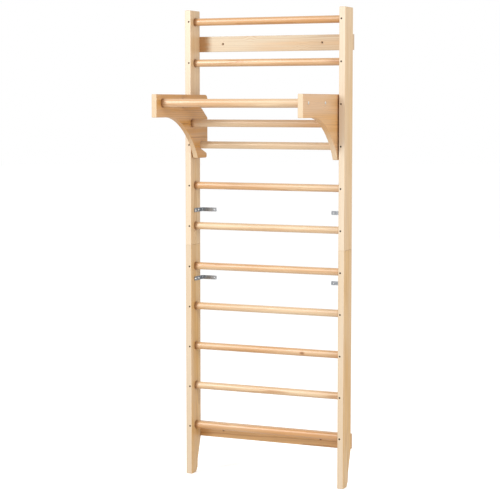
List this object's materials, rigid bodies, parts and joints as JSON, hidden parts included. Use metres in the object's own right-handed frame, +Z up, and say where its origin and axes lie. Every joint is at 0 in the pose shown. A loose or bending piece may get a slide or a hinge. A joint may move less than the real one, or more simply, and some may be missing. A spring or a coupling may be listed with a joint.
{
  "type": "wall bars",
  "caption": "Pine wall bars: round rungs between two upright stiles, rails for wall fixing, steel angles, and a hook-on pull-up unit that lifts off.",
  "frame": {"origin": "on the floor, at the centre of the footprint of the ladder with its pull-up unit hooked on", "axes": "+Z up, +Y towards the wall, +X to the right of someone who faces the wall"},
  "size_m": [0.8, 0.535, 2.2],
  "materials": {
    "stile_pine": "clear satin varnish on pale pine",
    "rung_pine": "clear satin varnish on honey-coloured pine",
    "arm_pine": "clear satin varnish on pine board",
    "dowel_beech": "bare turned beech",
    "zinc_steel": "bright zinc plate",
    "dark_steel": "dark phosphated steel"
  },
  "bodies": {
    "ladder": {"upper_stile_left": "stile_pine", "upper_stile_right": "stile_pine", "lower_stile_left": "stile_pine", "lower_stile_right": "stile_pine", "stile_dowel_left_front": "dowel_beech", "stile_dowel_left_rear": "dowel_beech", "stile_dowel_right_front": "dowel_beech", "stile_dowel_right_rear": "dowel_beech", "rung_01": "rung_pine", "rung_screw_01_left": "dark_steel", "rung_screw_01_right": "dark_steel", "rung_02": "rung_pine", "rung_screw_02_left": "dark_steel", "rung_screw_02_right": "dark_steel", "rung_03": "rung_pine", "rung_screw_03_left": "dark_steel", "rung_screw_03_right": "dark_steel", "rung_04": "rung_pine", "rung_screw_04_left": "dark_steel", "rung_screw_04_right": "dark_steel", "rung_05": "rung_pine", "rung_screw_05_left": "dark_steel", "rung_screw_05_right": "dark_steel", "rung_06": "rung_pine", "rung_screw_06_left": "dark_steel", "rung_screw_06_right": "dark_steel", "rung_07": "rung_pine", "rung_screw_07_left": "dark_steel", "rung_screw_07_right": "dark_steel", "rung_08": "rung_pine", "rung_screw_08_left": "dark_steel", "rung_screw_08_right": "dark_steel", "rung_09": "rung_pine", "rung_screw_09_left": "dark_steel", "rung_screw_09_right": "dark_steel", "rung_10": "rung_pine", "rung_screw_10_left": "dark_steel", "rung_screw_10_right": "dark_steel", "rung_11": "rung_pine", "rung_screw_11_left": "dark_steel", "rung_screw_11_right": "dark_steel", "top_rail": "stile_pine", "top_rail_screw_left": "zinc_steel", "top_rail_screw_right": "zinc_steel", "bottom_rail": "stile_pine", "bottom_rail_screw_left": "zinc_steel", "bottom_rail_screw_right": "zinc_steel", "wall_bracket_upper_left": "zinc_steel", "wall_bracket_upper_right": "zinc_steel", "wall_bracket_lower_left": "zinc_steel", "wall_bracket_lower_right": "zinc_steel"},
    "pull_up_unit": {"pull_up_arm_left": "arm_pine", "pull_up_arm_right": "arm_pine", "front_grip_bar": "rung_pine", "front_grip_bar_screw_left": "zinc_steel", "front_grip_bar_screw_right": "zinc_steel", "middle_grip_bar": "rung_pine", "middle_grip_bar_screw_left": "zinc_steel", "middle_grip_bar_screw_right": "zinc_steel", "spreader_bar": "rung_pine"}
  },
  "joints": [
    {"name": "pull_up_unit_lift_off", "type": "slide", "parent": "ladder", "child": "pull_up_unit", "axis": [0, -0.9397, 0.342], "range_m": [0, 0.2]}
  ]
}
